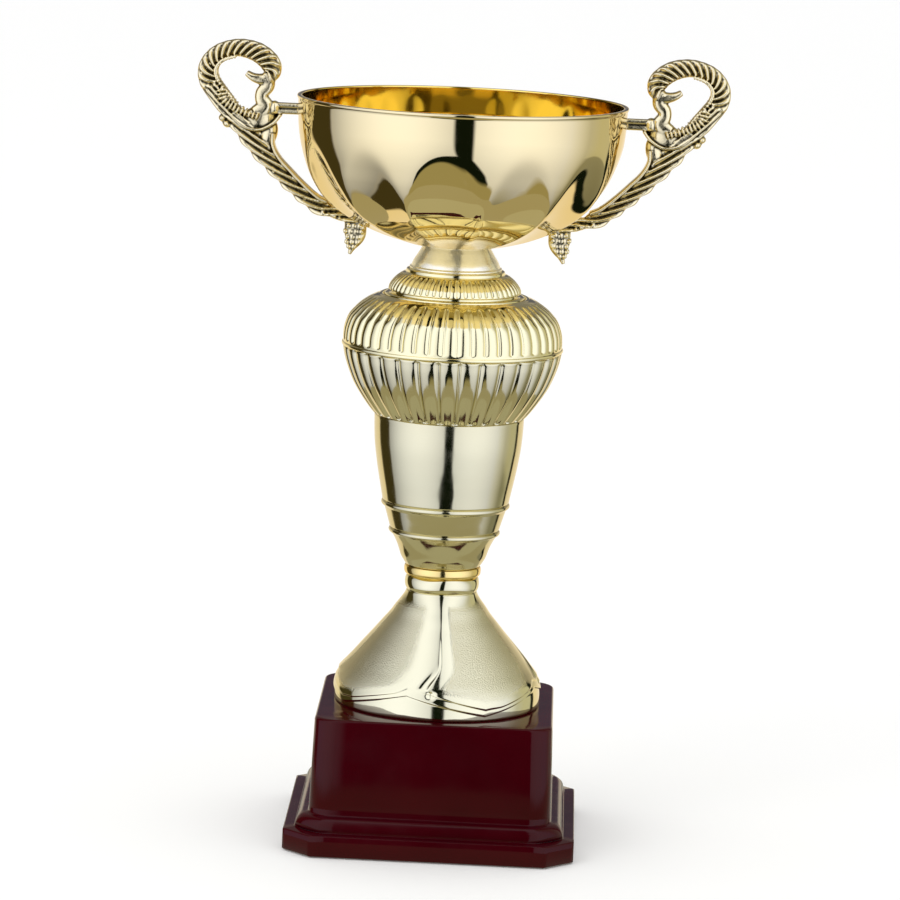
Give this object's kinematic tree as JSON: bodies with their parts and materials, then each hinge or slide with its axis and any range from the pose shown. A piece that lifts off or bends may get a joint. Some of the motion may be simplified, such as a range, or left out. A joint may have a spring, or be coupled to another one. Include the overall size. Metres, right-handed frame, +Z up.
{
  "type": "cup trophy",
  "caption": "Two-handled cup trophy: faceted cup with scroll handles on a fluted column, smooth stem, draped flared foot and square plinth.",
  "frame": {"origin": "middle of the underside, on the plane that the pads rest on", "axes": "+Z up along the tie rod, front faces -Y, the two handles lie in the XZ plane"},
  "size_m": [0.2246, 0.14, 0.3388],
  "materials": {
    "cup_gold": "mirror-bright gold plating on pressed sheet",
    "column_gold": "pale champagne-gold metallised plastic",
    "handle_gold": "gold metallised plastic, darker in the recesses",
    "plinth_plastic": "deep burgundy, glossy",
    "ballast_iron": "as cast",
    "cover_plastic": "fine moulded grain",
    "pad_felt": "pressed felt",
    "zinc_steel": "zinc plated"
  },
  "bodies": {
    "root": {"plinth_shell": "plinth_plastic", "ballast_plate": "ballast_iron", "bottom_cover": "cover_plastic", "cover_screw_1": "zinc_steel", "cover_screw_2": "zinc_steel", "cover_screw_3": "zinc_steel", "cover_screw_4": "zinc_steel", "foot_pad_1": "pad_felt", "foot_pad_2": "pad_felt", "foot_pad_3": "pad_felt", "foot_pad_4": "pad_felt", "flared_foot": "column_gold", "waist_ring": "cup_gold", "stem": "column_gold", "bulb_lower": "column_gold", "bulb_upper": "column_gold", "gadroon_collar": "column_gold", "neck_riser": "column_gold", "cup_bowl": "cup_gold", "tie_rod": "zinc_steel", "rod_washer": "zinc_steel", "rod_nut": "zinc_steel", "cup_washer": "zinc_steel", "cup_cap_nut": "zinc_steel", "right_handle": "handle_gold", "left_handle": "handle_gold", "right_handle_screw_upper": "zinc_steel", "right_handle_screw_lower": "zinc_steel", "left_handle_screw_upper": "zinc_steel", "left_handle_screw_lower": "zinc_steel"}
  },
  "joints": []
}
